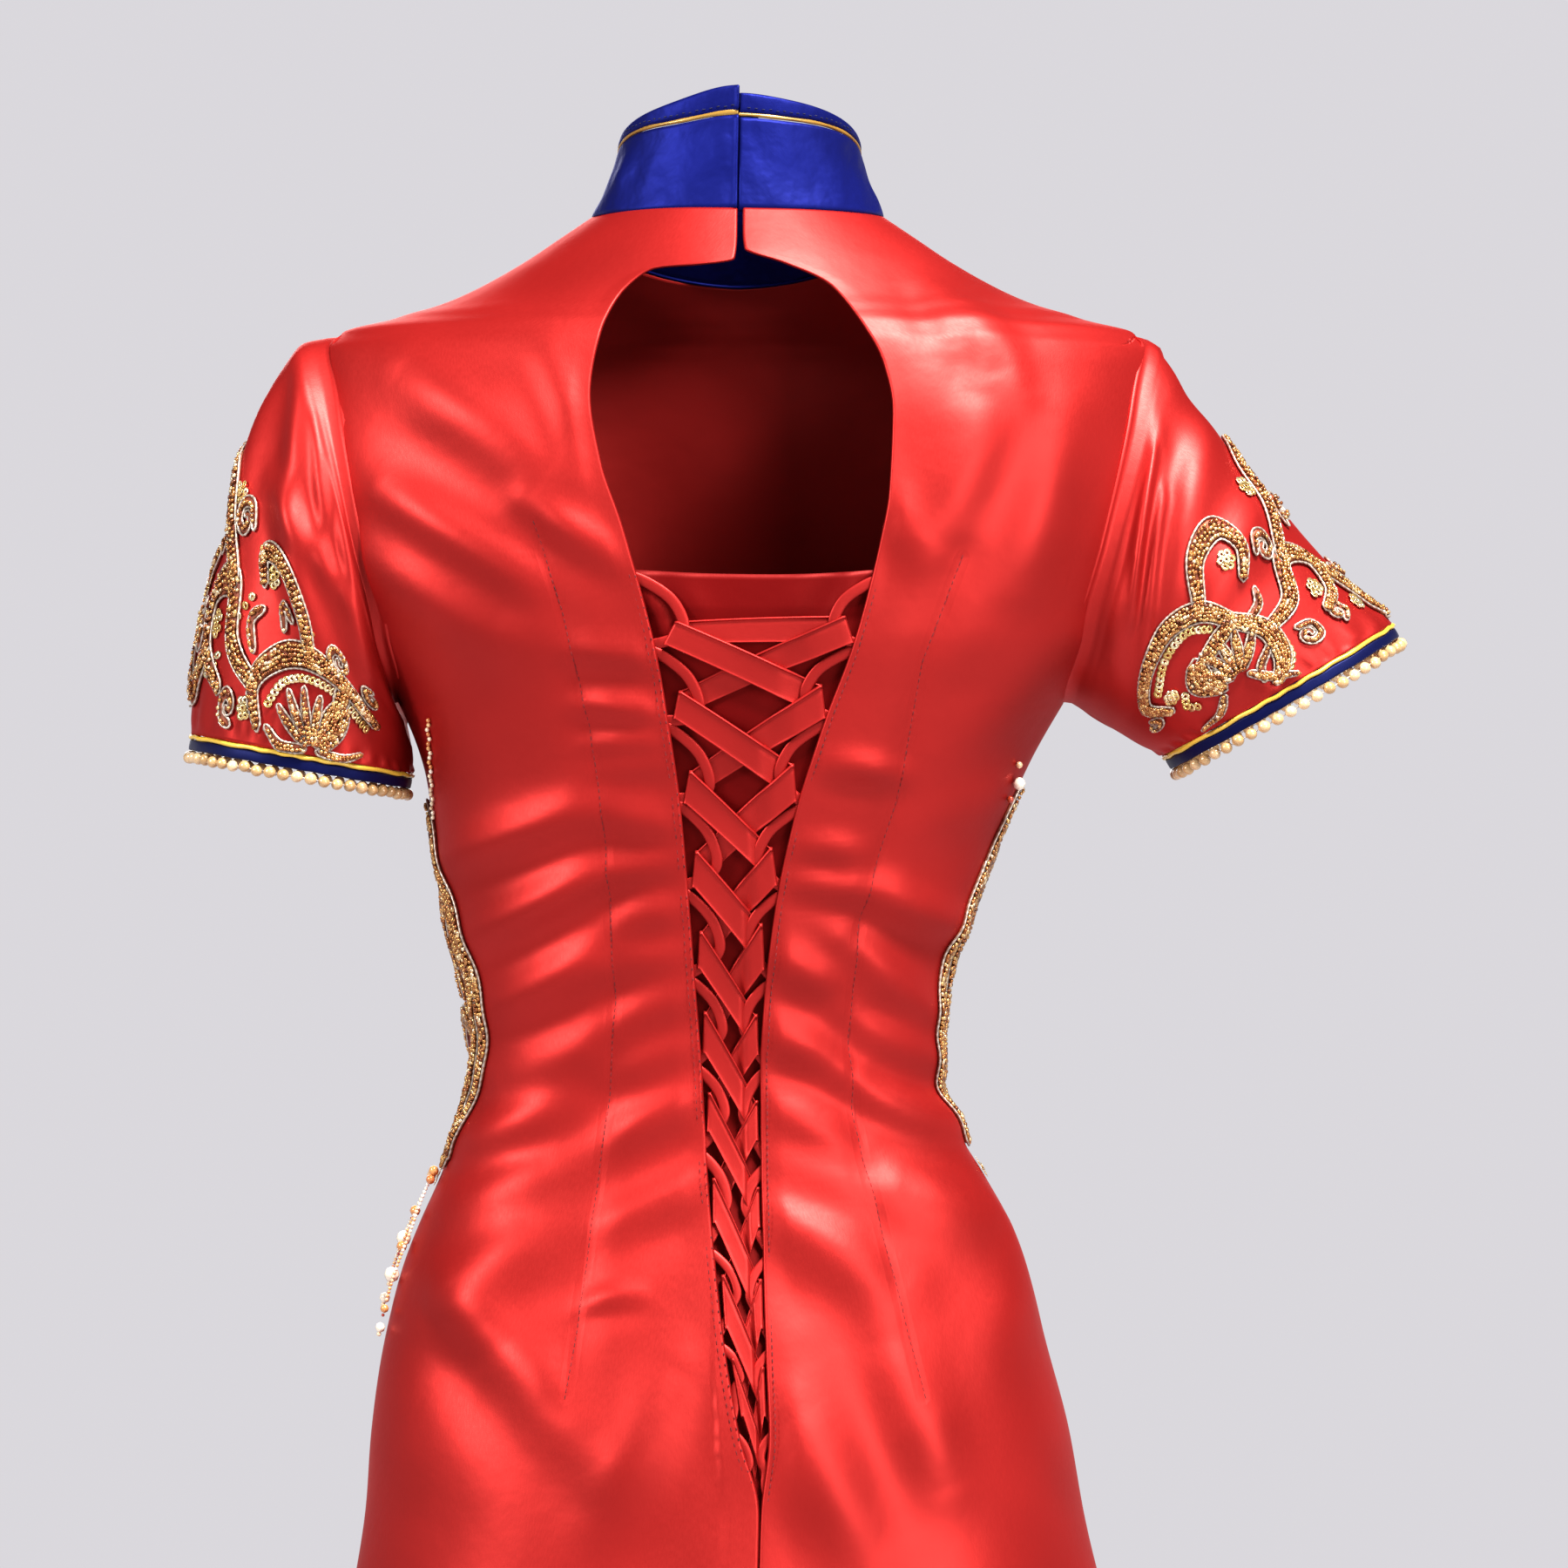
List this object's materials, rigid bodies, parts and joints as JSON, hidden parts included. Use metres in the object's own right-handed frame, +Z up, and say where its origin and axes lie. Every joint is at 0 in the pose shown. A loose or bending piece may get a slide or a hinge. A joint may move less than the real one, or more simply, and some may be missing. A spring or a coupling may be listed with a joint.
{
  "type": "qipao style wedding dress",
  "caption": "Floor-length satin wedding dress with a stand collar, keyhole back, corset lacing over a modesty panel, short beaded sleeves and a flared skirt, in its hollow worn form.",
  "frame": {"origin": "base of the neck, midway between the two shoulder seams, where the wearer holds the dress up", "axes": "+Z up, the front faces -Y and the back with its lacing faces +Y, the wearer's left is +X"},
  "size_m": [0.7274, 0.5762, 1.4712],
  "materials": {
    "red_satin": "red duchesse satin, soft sheen",
    "blue_satin": "royal blue satin",
    "gold_piping": "gold satin piping",
    "pearls": "champagne glass pearls",
    "bead_work": "gold and copper seed beads and sequins"
  },
  "bodies": {
    "root": {"back_left": "red_satin", "back_right": "red_satin", "front": "red_satin", "modesty_panel": "red_satin", "sleeve_left_back": "red_satin", "sleeve_left_front": "red_satin", "sleeve_right_back": "red_satin", "sleeve_right_front": "red_satin", "cuff_piping_left": "gold_piping", "cuff_piping_right": "gold_piping", "cuff_band_left": "blue_satin", "cuff_band_right": "blue_satin", "cuff_pearls_left": "pearls", "cuff_pearls_right": "pearls", "applique_sleeve_left": "bead_work", "applique_sleeve_right": "bead_work", "collar": "blue_satin", "collar_piping": "gold_piping", "collar_binding": "blue_satin", "loops_left": "red_satin", "loops_right": "red_satin", "lace": "red_satin", "applique_waist_left": "bead_work", "applique_waist_right": "bead_work", "hip_tassels": "pearls"}
  },
  "joints": []
}
